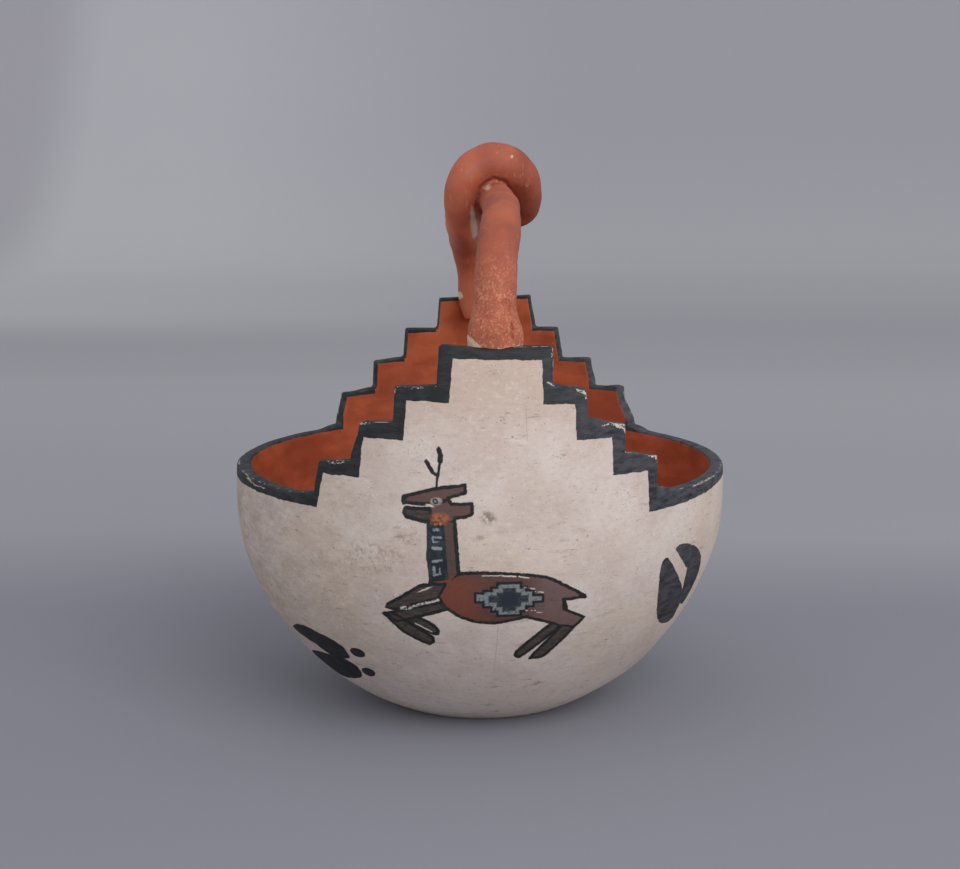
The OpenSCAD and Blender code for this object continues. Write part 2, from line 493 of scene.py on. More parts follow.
# %% [markdown]
# Materials are written as sums. A plug is one output of a shader node, and Python's own operators on a plug add
# Math nodes, so a mask can be written much as it would be on paper. Colours go through Mix nodes, and any other
# node comes from one method.

# %% Plugs
class Plug:
    """One output of a shader node."""

    def __init__(self, tree, output):
        self.tree = tree
        self.output = output

    def node(self, kind, settings, sockets, take=0):
        """Adds a node, sets it up, and fills its sockets with values or with other plugs."""
        made = self.tree.nodes.new("ShaderNode" + kind)
        for name, value in settings.items():
            setattr(made, name, value)
        for name, value in sockets.items():
            if isinstance(value, Plug):
                self.tree.links.new(value.output, made.inputs[name])
            else:
                made.inputs[name].default_value = value
        return Plug(self.tree, made.outputs[take])

    def math(self, operation, *values):
        return self.node("Math", {"operation": operation}, dict(enumerate(values)))

    def vector(self, operation, *values, take=0):
        return self.node("VectorMath", {"operation": operation}, dict(enumerate(values)), take)

    def __add__(self, other):
        return self.math("ADD", self, other)

    def __sub__(self, other):
        return self.math("SUBTRACT", self, other)

    def __rsub__(self, other):
        return self.math("SUBTRACT", other, self)

    def __mul__(self, other):
        return self.math("MULTIPLY", self, other)

    def __truediv__(self, other):
        return self.math("DIVIDE", self, other)

    def __pow__(self, other):
        return self.math("POWER", self, other)

    def __or__(self, other):
        """The larger of the two: a spot that either mask covers."""
        return self.math("MAXIMUM", self, other)

    def __and__(self, other):
        """The smaller of the two: a spot that both masks cover."""
        return self.math("MINIMUM", self, other)

    __radd__ = __add__
    __rmul__ = __mul__

    def rise(self, low, high):
        """0 up to low, 1 from high on, and a soft slope between them. Low may be the larger one."""
        soft = {"interpolation_type": "SMOOTHSTEP", "clamp": False}
        return self.node("MapRange", soft, {0: self, 1: low, 2: high})

    def dot(self, direction):
        """Across, up and 1, times these three numbers, added up."""
        return self.vector("DOT_PRODUCT", self, direction, take=1)


def colour(red, green, blue):
    """A colour as it is read off a screen, 0 to 255, as the linear numbers that shaders work with."""
    def linear(part):
        part /= 255
        return part / 12.92 if part <= 0.04045 else ((part + 0.055) / 1.055) ** 2.4

    return (linear(red), linear(green), linear(blue), 1)


def coat(under, mask, over):
    """The colour over, laid on the colour under wherever the mask is 1."""
    return mask.node("Mix", {"data_type": "RGBA"}, {0: mask, 6: under, 7: over}, take=2)


def coats(under, *layers):
    """Several coats in turn. Each layer is a mask and a colour, 0 to 255."""
    for mask, shade in layers:
        under = coat(under, mask, colour(*shade))
    return under


def start_material(name):
    """A new material and its place on the object: a vector in mm, and its three parts."""
    material = bpy.data.materials.new(name)
    material.use_nodes = True
    tree = material.node_tree
    metres = Plug(tree, tree.nodes.new("ShaderNodeTexCoord").outputs["Object"])
    place = metres.vector("MULTIPLY", metres, (1 / MM, 1 / MM, 1 / MM))
    return material, place, *[place.node("SeparateXYZ", {}, {0: place}, take=axis) for axis in range(3)]


def finish_material(material, base, roughness=None, bumps=None, **constants):
    """Links colour, and roughness and bumps (a height in mm) if given, to the material's own shader."""
    tree = material.node_tree
    shader = tree.nodes["Principled BSDF"]
    links = {"Base Color": base}
    if bumps:
        links["Roughness"] = roughness
        links["Normal"] = bumps.node("Bump", {}, {"Height": bumps, "Distance": MM, "Strength": 1.0})
    for name, plug in links.items():
        tree.links.new(plug.output, shader.inputs[name])
    for name, value in constants.items():
        shader.inputs[name.replace("_", " ")].default_value = value
    print(material.name, "has", len(tree.nodes), "nodes")
    return material


def noise(place, size, detail=2.0, rough=0.5, take=0):
    """Soft random values round 0.5, in lumps about that many mm across. Take 1 gives three of them, as a colour."""
    return place.node(
        "TexNoise", {}, {"Vector": place, "Scale": 1 / size, "Detail": detail, "Roughness": rough}, take
    )


def stretch(place, across, deep, up):
    """The same place with its three axes made longer or shorter, so that a pattern on it turns into streaks."""
    return place.vector("MULTIPLY", place, (across, deep, up))


print("Colours such as the slip's", [round(part, 3) for part in colour(208, 190, 176)])


# %% [markdown]
# The paint lies on a round wall, so it needs a map. The map's first line runs round the pot: the angle from the
# front, times the radius, gives millimetres to the right. The second climbs the wall. What is painted on the
# front is painted on the back as well, half a turn on. That is a guess, because only the front was seen. A
# second map, for the band along the steps, counts all angles at one radius.

# %% Maps of the wall
MAP_R = 68.0


def map_wall(place, x, y, z):
    """Returns the figure map and the band map, each (across, up, 1), the band's two parts, and the radius."""
    angle = x.math("ARCTAN2", x, 0 - y)
    half_turn = angle - math.pi * angle.math("ROUND", angle / math.pi)
    radius = (x * x + y * y) ** 0.5
    across = half_turn * radius
    climb = MAP_R * z.math("ARCTAN2", z - BELLY_Z, radius)
    figure_map = place.node("CombineXYZ", {}, {0: across, 1: climb, 2: 1.0})
    band_across = half_turn * MAP_R
    band_map = place.node("CombineXYZ", {}, {0: band_across, 1: z, 2: 1.0})
    return figure_map, band_map, band_across, radius


def unsteady(flat_map, place, size, reach):
    """The same map, shifted by noise as a brush edge wavers, but with its 1 kept."""
    cloudy = noise(place, size, 3, 0.6, take=1)
    aside, up = (place.node("SeparateColor", {}, {0: cloudy}, take=part) for part in range(2))
    shift = place.node("CombineXYZ", {}, {0: (aside - 0.5) * (2 * reach), 1: (up - 0.5) * (2 * reach)})
    return place.vector("ADD", flat_map, shift)


print("The maps count mm at radius", MAP_R)


# %% [markdown]
# Shapes on a map are patches with straight sides, blots and strokes. Each gives how far a spot lies outside it,
# in mm, and less than nothing inside. The smaller of two such distances joins two shapes, and the distance also
# gives an outline of any width for free.

# %% Patches, blots and strokes
def patch(spot, corners, rounding=0.0):
    """A patch with straight sides, rounded corners and no dents: the largest of a spot's distances from its sides."""
    turn = sum(a[0] * b[1] - b[0] * a[1] for a, b in zip(corners, corners[1:] + corners[:1]))
    sides = []
    for (x0, y0), (x1, y1) in zip(corners, corners[1:] + corners[:1]):
        length = math.copysign(math.hypot(x1 - x0, y1 - y0), turn)
        out_x, out_y = (y1 - y0) / length, (x0 - x1) / length
        sides.append(spot.dot((out_x, out_y, -out_x * x0 - out_y * y0)))
    return reduce(lambda a, b: a.math("SMOOTH_MAX", a, b, rounding), sides)


def blot(spot, middle, half, lean=0.0):
    """An oval, with half its length and half its width, leaning by some degrees."""
    cos, sin = math.cos(math.radians(lean)), math.sin(math.radians(lean))
    along = spot.dot((cos / half[0], sin / half[0], -(cos * middle[0] + sin * middle[1]) / half[0]))
    aside = spot.dot((-sin / half[1], cos / half[1], (sin * middle[0] - cos * middle[1]) / half[1]))
    return ((along * along + aside * aside) ** 0.5 - 1) * min(half)


def stroke(spot, start, end, half_width):
    """A line with round ends."""
    run = (end[0] - start[0], end[1] - start[1], 0)
    square = run[0] ** 2 + run[1] ** 2
    offset = spot.vector("SUBTRACT", spot, (*start, 1))
    share = offset.dot([part / square for part in run]) | 0.0
    nearest = spot.node("VectorMath", {"operation": "SCALE"}, {"Vector": run, "Scale": share & 1.0})
    apart = spot.vector("SUBTRACT", offset, nearest)
    return spot.vector("LENGTH", apart, take=1) - half_width


def join(*shapes):
    """All these shapes as one."""
    return reduce(lambda a, b: a & b, shapes)


def patches(spot, shapes, rounding=0.0):
    """Several patches as one shape."""
    return join(*(patch(spot, list(corners), rounding) for corners in shapes))


def strokes(spot, *rows):
    """Several strokes as one shape. Each row is a start, an end and half a width."""
    return join(*(stroke(spot, *row) for row in rows))


def cover(shape, soft=0.25):
    """A mask that is 1 inside the shape and 0 outside."""
    return shape.rise(soft / 2, -soft / 2)


# %% [markdown]
# The deer is a common figure of painted pottery of this kind. It is drawn here from a handful of simple shapes:
# a wedge for the head, a bent strip for each leg, and a stepped lozenge on the flank.

# %% The shapes of the deer
HEAD = [(-20, 12.5), (-11.1, 14.9), (-8, 15.2), (-8, 11.6), (-14.2, 10.3), (-20, 10.6)]
HIGH_EAR = [(-12, 14.6), (-3.6, 15.8), (-3.5, 13.5), (-10, 11.4)]
CHEEK = [(-13, 10.6), (-8, 12.2), (-6.2, 9.8), (-6.2, 6.5), (-8, 5.6), (-13.4, 5.7), (-13.9, 8)]
LOW_EAR = [(-8.5, 11), (-1.9, 11.2), (-1.7, 8.4), (-3.6, 7.4), (-8, 7)]
NECK = [(-13.6, 6.6), (-6.3, 7), (-5.2, -5.6), (-5.1, -7.2), (-8.3, -10.5), (-13.1, -10)]
SHOULDER = [(-15.5, -10.4), (-8, -8.8), (-7, -14), (-10.5, -14.3), (-15, -13)]
BODY = [(-10.5, -9.5), (-5, -6.6), (0, -6.3), (4.3, -6.5), (12.4, -7.2), (14, -7.5), (14, -19.3), (7.5, -20.8),
        (3.7, -21.4), (-1.2, -21), (-5.2, -19.4), (-9, -16.8), (-10.8, -14)]
RUMP = [(12, -7.1), (17.5, -8.1), (21.5, -10), (22.3, -14), (22.6, -18), (21.8, -22.8), (19.1, -22.2), (12, -19.8)]
TAIL = [(20, -9.4), (25.5, -12.4), (28.4, -14.3), (28.3, -14.9), (24.2, -15.3), (21, -15.2), (19, -13)]
HAUNCH = [(21, -16.9), (28.5, -21), (25.9, -23.8), (22.6, -25.6), (19, -22.2)]
JAW = [(-19.5, 9.8), (-12.6, 9.7), (-12.2, 7), (-13.6, 5.9), (-19.2, 6.9), (-20.2, 8.2)]
THROAT = [(-13.6, 5.5), (-9.3, 5.5), (-8.8, 1.4), (-8.1, -8.6), (-12.9, -9.6), (-13.9, -3)]
LEGS = [
    [(-8.4, -9.4), (-15.6, -10.2), (-25, -16.6), (-25.3, -17.8), (-22.3, -18.3), (-10.6, -13.9)],
    [(-26, -19.4), (-10.4, -14.8), (-8, -17), (-15.8, -20), (-22.4, -22.2)],
    [(-26.2, -19.6), (-22.3, -19.2), (-12.2, -26), (-11.9, -28), (-13.4, -29.3), (-20.5, -25.4)],
    [(-19.4, -21.6), (-17, -19.2), (-12.4, -21.6), (-10.6, -23.6), (-10.8, -25.3), (-12.2, -25.4), (-16.5, -23.3)],
    [(19.1, -21.5), (22, -23), (16.6, -28.3), (10.4, -34.2), (9, -33.3), (9.3, -31.3), (13.9, -26.2)],
    [(21.8, -22.6), (25.9, -23.8), (22.8, -27.6), (16.9, -34.4), (13, -34.8), (13.6, -33)],
]
ANTLER = [
    ((-11.2, 14.8), (-10.9, 17.8), 0.35), ((-11.3, 17.9), (-12.2, 18.4), 0.4), ((-12.2, 18.5), (-13.7, 20.9), 0.55),
    ((-10.8, 17.6), (-10.3, 20.6), 0.38), ((-10.2, 21.2), (-10.2, 22.5), 0.72), ((-10.4, 23.2), (-10.6, 23.9), 0.6),
]
LOZENGE = [
    [(2.2, -12.9), (12.6, -13), (12.6, -15), (2.2, -14.9)],
    [(4.3, -12), (10.7, -12.1), (10.7, -16.3), (4.3, -16.2)],
    [(5.8, -10.8), (9.3, -10.8), (9.3, -17.5), (5.8, -17.5)],
]
LOZENGE_ARMS = [
    [(-0.9, -12.6), (1.6, -12.6), (1.6, -14.4), (-0.9, -14.4)],
    [(13.4, -13.5), (16.1, -13.6), (16.1, -14.8), (13.4, -14.8)],
]
BROWN_PARTS = [HEAD, HIGH_EAR, CHEEK, LOW_EAR, NECK, SHOULDER, BODY, RUMP, TAIL, HAUNCH]
DARK_PARTS = [JAW, *LEGS]
print("The deer is drawn with", len([*BROWN_PARTS, *DARK_PARTS, THROAT, *LOZENGE, *LOZENGE_ARMS]), "patches")


def draw_deer(spot, place, under):
    """Lays the deer on the colour under."""
    fill = patches(spot, BROWN_PARTS, 0.3)
    dark = [patch(spot, part, 0.7) for part in DARK_PARTS]
    limbs = join(*dark)
    limb_lines = join(*(part.math("ABSOLUTE", part + 0.3) - 0.36 for part in dark))
    lines = strokes(
        spot, *ANTLER, ((-6.5, 5.5), (-5.5, -7), 0.5), ((-19.7, 12.1), (-19.7, 10.9), 0.7),
        ((22.2, -15), (22.8, -17.8), 0.6), ((27, -14.4), (28.2, -14.9), 0.6),
    )
    across = spot.dot((1, 0, 0))
    up = spot.dot((0, 1, 0))
    blotched = noise(place, 2, 4, 0.65)
    streaked = noise(stretch(place, 0.5, 0.5, 1.6), 1.1, 3, 0.6)
    warm = across.rise(6, -5) * across.rise(-17, -9) * up.rise(-5, -10)
    brown = coats(
        colour(92, 62, 54),
        (blotched.rise(0.38, 0.66), (74, 56, 52)),
        (up.rise(5, 8) * 0.7, (100, 74, 71)),
        (up.rise(-10, -6) * up.rise(7, 4) * 0.7, (82, 68, 65)),
        (warm * (0.3 + blotched * 0.9), (120, 64, 48)),
        (across.rise(10, 18) * (0.3 + blotched * 0.8), (114, 92, 90)),
        (streaked.rise(0.56, 0.72) * 0.4, (62, 50, 48)),
    )
    ink = coat(colour(29, 31, 33), blotched.rise(0.5, 0.7), colour(52, 50, 49))
    inner = coat(colour(76, 66, 61), streaked.rise(0.4, 0.6) * 0.8, colour(52, 47, 46))
    paint = coat(under, cover(fill), brown)
    paint = coat(paint, cover(limbs), inner)
    paint = coat(paint, cover(limb_lines, 0.3), ink)
    whole = join(fill, limbs)
    outline = cover(whole.math("ABSOLUTE", whole + 0.25) - 0.45, 0.3)
    paint = coat(paint, outline, ink)
    teal = coat(colour(30, 38, 42), blotched.rise(0.45, 0.6), colour(46, 56, 60))
    paint = coat(paint, cover(patch(spot, THROAT)), teal)
    return coat(paint, cover(lines), ink)


def draw_details(spot, place, under):
    """The deer's eye, throat marks, flank lozenge and the pale lines that the brush left bare."""
    grey, pale, navy, ink = colour(122, 128, 130), colour(198, 186, 176), colour(38, 44, 54), colour(30, 32, 34)
    worn = noise(place, 0.8, 3, 0.6)
    orange = cover(blot(spot, (-10.3, 7.2), (2.3, 1.3)), 1.2) * worn.rise(0.3, 0.55)
    paint = coat(under, orange * 0.9, colour(166, 96, 62))
    paint = coat(paint, cover(blot(spot, (-10.6, 5.9), (1.7, 0.5)), 0.6) * worn.rise(0.5, 0.6), colour(196, 132, 86))
    marks = blot(spot, (-11.3, 4.3), (0.8, 0.4)) & strokes(
        spot, ((-12, 2.5), (-10.1, 2.3), 0.28), ((-12.2, 2.2), (-12, 1.2), 0.2), ((-12, 1.1), (-10.5, 1.3), 0.18),
        ((-12.1, -0.4), (-10.1, -0.5), 0.42), ((-12.1, -3.9), (-9.9, -3.5), 0.34),
        ((-11.9, -5.4), (-11.8, -7.5), 0.34), ((-11.8, -7.4), (-10.2, -7.2), 0.24), ((-10.4, -5.6), (-10.3, -7), 0.16),
    )
    paint = coat(paint, cover(marks, 0.4) * worn.rise(0.3, 0.48), colour(134, 142, 146))
    core = patches(spot, LOZENGE)
    arms = patches(spot, LOZENGE_ARMS)
    paint = coat(paint, cover(join(core - 1.7, arms - 0.7)), ink)
    paint = coat(paint, cover(join(core - 0.95, arms), 0.4) * worn.rise(0.28, 0.5), grey)
    paint = coat(paint, cover(core, 0.5), coat(colour(58, 66, 70), worn.rise(0.35, 0.6), navy))
    paint = coat(paint, cover(blot(spot, (7.5, -14), (2.4, 2.2)), 0.8), navy)
    eye = blot(spot, (-11.2, 11.4), (1.5, 0.95), 6)
    paint = coat(paint, cover(eye, 0.5) * worn.rise(0.25, 0.5), colour(158, 148, 140))
    iris = blot(spot, (-11.5, 11.4), (0.75, 0.72))
    paint = coat(paint, cover(iris), ink)
    paint = coat(paint, cover(iris + 0.34), colour(118, 120, 120))
    bare = blot(spot, (-12.9, 10.3), (1.1, 0.34), -12) & blot(spot, (-14.4, -11.6), (1.9, 0.22), 24) & strokes(
        spot, ((0.6, -7.4), (5.6, -7.4), 0.13), ((5.6, -7.5), (9.2, -7.7), 0.2), ((10, -7.8), (12.6, -8.3), 0.16),
        ((-17, -22), (-12.6, -24.4), 0.16),
    )
    paint = coat(paint, cover(bare, 0.2) * worn.rise(0.3, 0.42), pale)
    rubbed = blot(spot, (-19.6, -17.3), (1.7, 0.6), 8) & strokes(
        spot, ((-17.6, -16.6), (-10.9, -14.3), 0.34), ((11.5, -10.9), (14.2, -11.4), 0.16),
        ((14.4, -12.2), (16.6, -12.5), 0.16), ((12, -17.6), (14.4, -17.7), 0.16), ((14.4, -18.3), (16.4, -18.4), 0.12),
    )
    return coat(paint, cover(rubbed, 0.3) * worn.rise(0.42, 0.52), colour(192, 186, 178))


# %% [markdown]
# A hoof print stands on each side of the deer: two lobes, and on the left one two dots behind them. They are
# drawn on the same map, from a line 40 degrees to the left and one 45 degrees to the right.

# %% The hoof prints
LEFT_PRINT = [
    [(-21.8, -33.6), (-17.8, -31.4), (-13.9, -30.3), (-9.4, -30.5), (-5.4, -31.8), (-5.4, -39.4), (-21.4, -34.9)],
    [(-13, -30.4), (-5, -31.6), (-0.9, -32.8), (1.6, -34.9), (2, -37.8), (1.3, -39.5), (-1.4, -40.7), (-4.8, -41.1),
     (-8.4, -40.1), (-11.5, -38)],
    [(-22, -44.6), (-17, -42.2), (-11.5, -40.8), (-3.8, -40), (-0.9, -40.6), (1.6, -42.6), (1.6, -46), (-0.4, -49.3),
     (-3.4, -51.3), (-11.4, -54.6), (-20, -56), (-26, -50)],
]
LEFT_DOTS = [((5.9, -36), (2.7, 1.9), 19), ((4.6, -45.1), (3, 1.9), 43)]
RIGHT_PRINT = [
    [(1.6, -7.6), (-0.4, -8.2), (-1, -10.4), (-0.2, -14.8), (1.4, -20.2), (3.9, -25.6), (6.7, -28.8), (10, -30.6),
     (14, -31.4), (16.4, -30.2), (16.2, -25), (13.6, -19.4)],
    [(4.4, -6.2), (5.4, -5.3), (8.4, -5), (12.2, -5.9), (17, -7.9), (20.2, -10.4), (22, -13.6), (12.4, -13.2),
     (6.4, -8)],
    [(12.6, -12.2), (20.6, -10.6), (22.2, -13.8), (22.8, -17), (21.4, -20.6), (20, -24), (18.6, -26), (14.6, -24.4),
     (13.2, -18)],
]


def draw_prints(spot, radius):
    """Both hoof prints as one shape."""
    from_left = spot.vector("ADD", spot, spot.node("CombineXYZ", {}, {0: radius * math.radians(40)}))
    from_right = spot.vector("SUBTRACT", spot, spot.node("CombineXYZ", {}, {0: radius * math.radians(45)}))
    dots = join(*(blot(from_left, *dot) for dot in LEFT_DOTS))
    return join(patches(from_left, LEFT_PRINT, 1.2), dots, patches(from_right, RIGHT_PRINT, 1.2))


print("The prints are drawn with", len(LEFT_PRINT + RIGHT_PRINT), "patches and", len(LEFT_DOTS), "blots")


# %% [markdown]
# The black band along the top follows the steps at about a brush's width. It is what the cream leaves over: the
# cream is a stack of four patches, one for each step, on a low field that goes right round. Each row gives the
# patch's left side, foot and top, and its right side, top and foot, on the band map. The inside of the wall has
# a much narrower band of the same kind.

# %% The stepped band
FRONT_CREAM = [
    ((-8.5, 90), (-7.4, 107.7), (17.2, 107.1), (16.4, 90)),
    ((-20.2, 80), (-19.6, 97), (25.6, 95.9), (25.2, 80)),
    ((-32.4, 70), (-31.1, 87), (35.8, 86.5), (35.3, 70)),
    ((-45.9, 62), (-43, 76.6), (46.7, 76.8), (46.8, 62)),
]
BACK_CREAM = [
    ((-14.8, 90), (-14.6, 106.9), (10.8, 106.6), (10.8, 90)),
    ((-23.8, 80), (-23.4, 96.6), (22.2, 96.2), (22, 80)),
    ((-34.4, 70), (-34, 86.5), (32, 86.7), (32.2, 70)),
    ((-46.8, 62), (-46, 77), (43.2, 76.6), (44, 62)),
]
FRONT_RED = [
    ((-10.1, 90), (-10.1, 109), (19.2, 108.8), (19.2, 90)),
    ((-21.7, 80), (-21.7, 98.9), (28.1, 98), (28.1, 80)),
    ((-32.3, 70), (-32.3, 89), (38.8, 88.6), (38.8, 70)),
    ((-44.5, 62), (-44.5, 78.6), (49.1, 79), (49.1, 62)),
]
BACK_RED = [
    ((-18.6, 90), (-18.6, 109.9), (15.4, 108.9), (15.4, 90)),
    ((-27.4, 80), (-27.4, 99.6), (26.2, 98.9), (26.2, 80)),
    ((-38, 70), (-38, 90.1), (36.2, 89.6), (36.2, 70)),
    ((-52.2, 62), (-51.8, 81.6), (48, 79.6), (48.6, 62)),
]


def stepped_field(spot, y, low, front, back):
    """Everything below the stepped band, as one shape: the low field, and the front's or the back's patches."""
    front_field, back_field = low & patches(spot, front), low & patches(spot, back)
    behind = y.math("GREATER_THAN", y, 0.0)
    return front_field + behind * (back_field - front_field)


print("The band follows", len(FRONT_CREAM), "steps a side")


# %% [markdown]
# The outside has a cream slip, which was rubbed smooth with a stone before the firing. It is cloudy, darker at
# the left, which is partly dirt and partly painted shade, lighter low down as painted light, and full of fine
# specks, scuffs and faint rubbing marks. On top of it lie the deer, the prints and the stepped band, in a black
# that is nowhere quite even and greyer at the right, partly thinner and partly a painted sheen, and ragged little
# chips at the corners of the steps show pale clay.

# %% Cream slip with its paint
CHIPS = [
    ((36, 90.2), (39.8, 90), 0.45), ((39.9, 89.8), (40.5, 87.4), 0.5), ((37.6, 89.6), (40, 88.8), 0.5),
    ((26.6, 99.2), (28.4, 98.8), 0.32), ((28.6, 98.6), (29.2, 97.2), 0.3), ((47.8, 80.6), (49.8, 80.2), 0.32),
    ((50, 80), (50.4, 78.6), 0.24), ((20.4, 110), (20.9, 107.4), 0.22), ((20, 108.6), (20.6, 107), 0.2),
    ((18.2, 101.6), (19.8, 100.8), 0.2), ((-23.4, 100.4), (-23.2, 98.8), 0.3), ((-33.4, 89.8), (-33.2, 87.6), 0.2),
]
SCRAPES = [
    ((-22.8, 100.5), (-19.4, 100.7), 0.16), ((-18.4, 100.3), (-15, 100.2), 0.1), ((-32.9, 90.4), (-29.8, 90.8), 0.14),
    ((-44.6, 80.2), (-41, 79.8), 0.12), ((-41, 79.4), (-36.4, 80.1), 0.12), ((-80, 69.6), (-73, 68.8), 0.16),
    ((-74, 68.7), (-67, 68.9), 0.14), ((33, 89.8), (36, 90.1), 0.16), ((66, 69.6), (90, 70), 0.12),
]


def paint_black(place, x):
    """The black paint's colour, brushed on unevenly along the band, and greyer at the right: partly thinner paint and
    partly a painted sheen.
    """
    brushed = noise(stretch(place, 0.4, 0.4, 1.5), 1.7, 4, 0.6)
    black = coat(colour(26, 28, 31), brushed.rise(0.4, 0.7), colour(43, 46, 49))
    # Greyer towards the right: partly thinner paint and partly a painted sheen.
    return coat(black, x.rise(4, 46) * brushed.rise(0.25, 0.65) * 0.85, colour(74, 73, 81))


def slip_clouds(place, x, z):
    """The cream with its clouds, dirt and painted shade at the left, painted light low down, rubbing marks, specks and
    scuffs.
    """
    blurred = noise(stretch(place, 0.8, 0.8, 1.5), 8, 4, 0.65)
    # Darker at the left: partly dirt and partly painted shade.
    dirt_and_shade_left = (x.rise(12, -60) * 0.42 + x.rise(-40, -70) * 0.3) * blurred.rise(0.3, 0.68)
    mottled = noise(stretch(place, 0.8, 0.8, 1.3), 1.7, 3, 0.7)
    rubbed = noise(stretch(place, 0.45, 0.45, 1.7), 2.2, 3, 0.65)
    patchy = noise(place, 9, 2)
    scuffed = rubbed.rise(0.6, 0.66) * patchy.rise(0.52, 0.62) * noise(place, 0.7, 3, 0.7).rise(0.45, 0.55)
    fine = noise(place, 0.5, 1.5, 0.5)
    specks = (fine + noise(place, 7, 2).rise(0.44, 0.68) * 0.06).rise(0.7, 0.76)
    grains = place.node("TexVoronoi", {}, {"Vector": place, "Scale": 0.36})
    random = place.node("SeparateColor", {}, {0: Plug(place.tree, grains.output.node.outputs["Color"])})
    dots = (grains - (random - 0.72) * 0.42).rise(0.02, -0.02)
    cream = coats(
        colour(205, 191, 183),
        (noise(place, 16, 3).rise(0.36, 0.66), (195, 178, 169)),
        (noise(place, 34, 2).rise(0.46, 0.68) * 0.45, (198, 180, 160)),
        (z.rise(82, 100) * 0.85, (189, 167, 153)),
        # Painted light: the cream is lighter towards the bottom, standing in for light thrown up from the cloth.
        (z.rise(26, 5) * 0.6, (232, 219, 211)),
        (dirt_and_shade_left, (162, 144, 131)),
        (mottled.rise(0.5, 0.74) * (0.35 + dirt_and_shade_left), (168, 150, 137)),
        (mottled.rise(0.47, 0.28) * 0.4, (218, 207, 199)),
        (rubbed.rise(0.54, 0.7) * patchy.rise(0.4, 0.6) * 0.4, (160, 143, 130)),
        (scuffed * 0.55, (128, 113, 102)),
        ((specks * 0.6) | (dots * 0.65), (118, 104, 95)),
    )
    return cream, rubbed


def make_slip():
    material, place, x, y, z = start_material("painted cream slip")
    figure_map, band_map, band_across, radius = map_wall(place, x, y, z)
    cream, rubbed = slip_clouds(place, x, z)
    grime = noise(place, 1.2, 4, 0.65)
    smudge = cover(join(blot(figure_map, (2.1, 7.4), (2, 1.5), -30), blot(figure_map, (0.2, 2.6), (0.7, 0.5))), 1.4)
    stained = cover(join(blot(figure_map, (-17.5, 1.8), (2.2, 2), 20), blot(figure_map, (-28, -4), (9, 4))), 3)
    crack = strokes(
        figure_map,
        ((4.7, -21.8), (4.4, -29), 0.05), ((4.4, -29), (3.7, -38.3), 0.03), ((11.8, 33), (12.1, 26), 0.03),
    )
    cream = coats(
        cream,
        (smudge * grime.rise(0.36, 0.56) * 0.8, (112, 102, 86)),
        (stained * grime.rise(0.46, 0.62) * 0.5, (150, 130, 114)),
        (cover(crack, 0.4) * 0.8, (150, 132, 118)),
    )

    painted = draw_deer(unsteady(figure_map, place, 1.1, 0.34), place, cream)
    painted = draw_details(unsteady(figure_map, place, 0.9, 0.26), place, painted)
    black = paint_black(place, x)
    prints = draw_prints(unsteady(figure_map, place, 2.5, 0.4), radius)
    painted = coat(painted, cover(prints), coat(black, noise(place, 5).rise(0.5, 0.6) * 0.4, colour(48, 38, 35)))

    wavering = unsteady(band_map, place, 3, 0.55)
    sag = band_across.rise(95, 47) * band_across.rise(0, 1) * 1.5
    low = wavering.dot((0, 1, -67.3)) + sag
    field = stepped_field(wavering, y, low, FRONT_CREAM, BACK_CREAM)
    band = cover(0 - field, 0.2)
    painted = coat(painted, band, black)
    front = 1 - y.math("GREATER_THAN", y, 0.0)
    ragged = unsteady(band_map, place, 0.7, 0.8)
    chipped = cover(strokes(ragged, *CHIPS, *SCRAPES), 0.3) * front * noise(place, 0.9, 3, 0.75).rise(0.42, 0.52)
    painted = coat(painted, chipped * 0.85, colour(204, 197, 188))

    bumps = noise(place, 5, 2) * 0.12 + rubbed * 0.05 + noise(place, 0.5, 2, 0.7) * 0.07
    gloss = 0.64 - band * 0.1 + noise(place, 3, 3) * 0.12
    return finish_material(material, painted, gloss, bumps, Specular_IOR_Level=0.3)


slip = make_slip()


# %% [markdown]
# The inside is covered with a red-brown slip. It was put on with a wide brush, and it is lighter in patches
# towards the rim and darker where it pooled. The top of the wall is black, and worn to grey where hands and
# dust touch it, with a pale line along its outer edge.

# %% Red inside and black top
def make_inside():
    material, place, x, y, z = start_material("red inside")
    band_map = map_wall(place, x, y, z)[1]
    brushed = noise(stretch(place, 0.5, 0.5, 1.3), 6, 4, 0.6)
    red = coats(
        colour(156, 74, 44),
        (brushed.rise(0.36, 0.66), (178, 88, 54)),
        (noise(place, 22, 2).rise(0.46, 0.62) * 0.6, (140, 62, 38)),
        (z.rise(70, 108) * noise(place, 10, 3).rise(0.4, 0.6) * 0.6, (190, 104, 68)),
        (noise(place, 1.6, 4, 0.7).rise(0.66, 0.74) * 0.5, (200, 130, 96)),
    )
    wavering = unsteady(band_map, place, 3, 0.4)
    field = stepped_field(wavering, y, wavering.dot((0, 1, -69.4)), FRONT_RED, BACK_RED)
    band = cover(0 - field, 0.25)
    red = coat(red, band, paint_black(place, x))
    bumps = noise(place, 4, 3) * 0.12 + brushed * 0.08 + noise(place, 0.6, 3, 0.7) * 0.05
    return finish_material(material, red, 0.56 + brushed * 0.12, bumps, Specular_IOR_Level=0.35)


def make_top():
    material, place, x, y, z = start_material("black top")
    radius = (x * x + y * y) ** 0.5
    climb = (z - BELLY_Z) / RISE_AXIS
    edge = radius - BELLY_R * (1 - climb * climb) ** 0.5
    dusty = noise(place, 2.2, 4, 0.65)
    top = coat(paint_black(place, x), dusty.rise(0.4, 0.66) * 0.5, colour(78, 82, 86))
    worn = edge.rise(-1.1, -0.4) * edge.rise(0.4, 0.1) * noise(place, 4, 3, 0.7).rise(0.52, 0.6)
    top = coat(top, worn * 0.7, colour(176, 173, 168))
    bumps = noise(place, 4, 3) * 0.12 + dusty * 0.08
    return finish_material(material, top, 0.6 + dusty * 0.1, bumps, Specular_IOR_Level=0.3)


for material_slot, material in enumerate((slip, make_inside(), make_top())):
    bowl.material_slots[material_slot].material = material
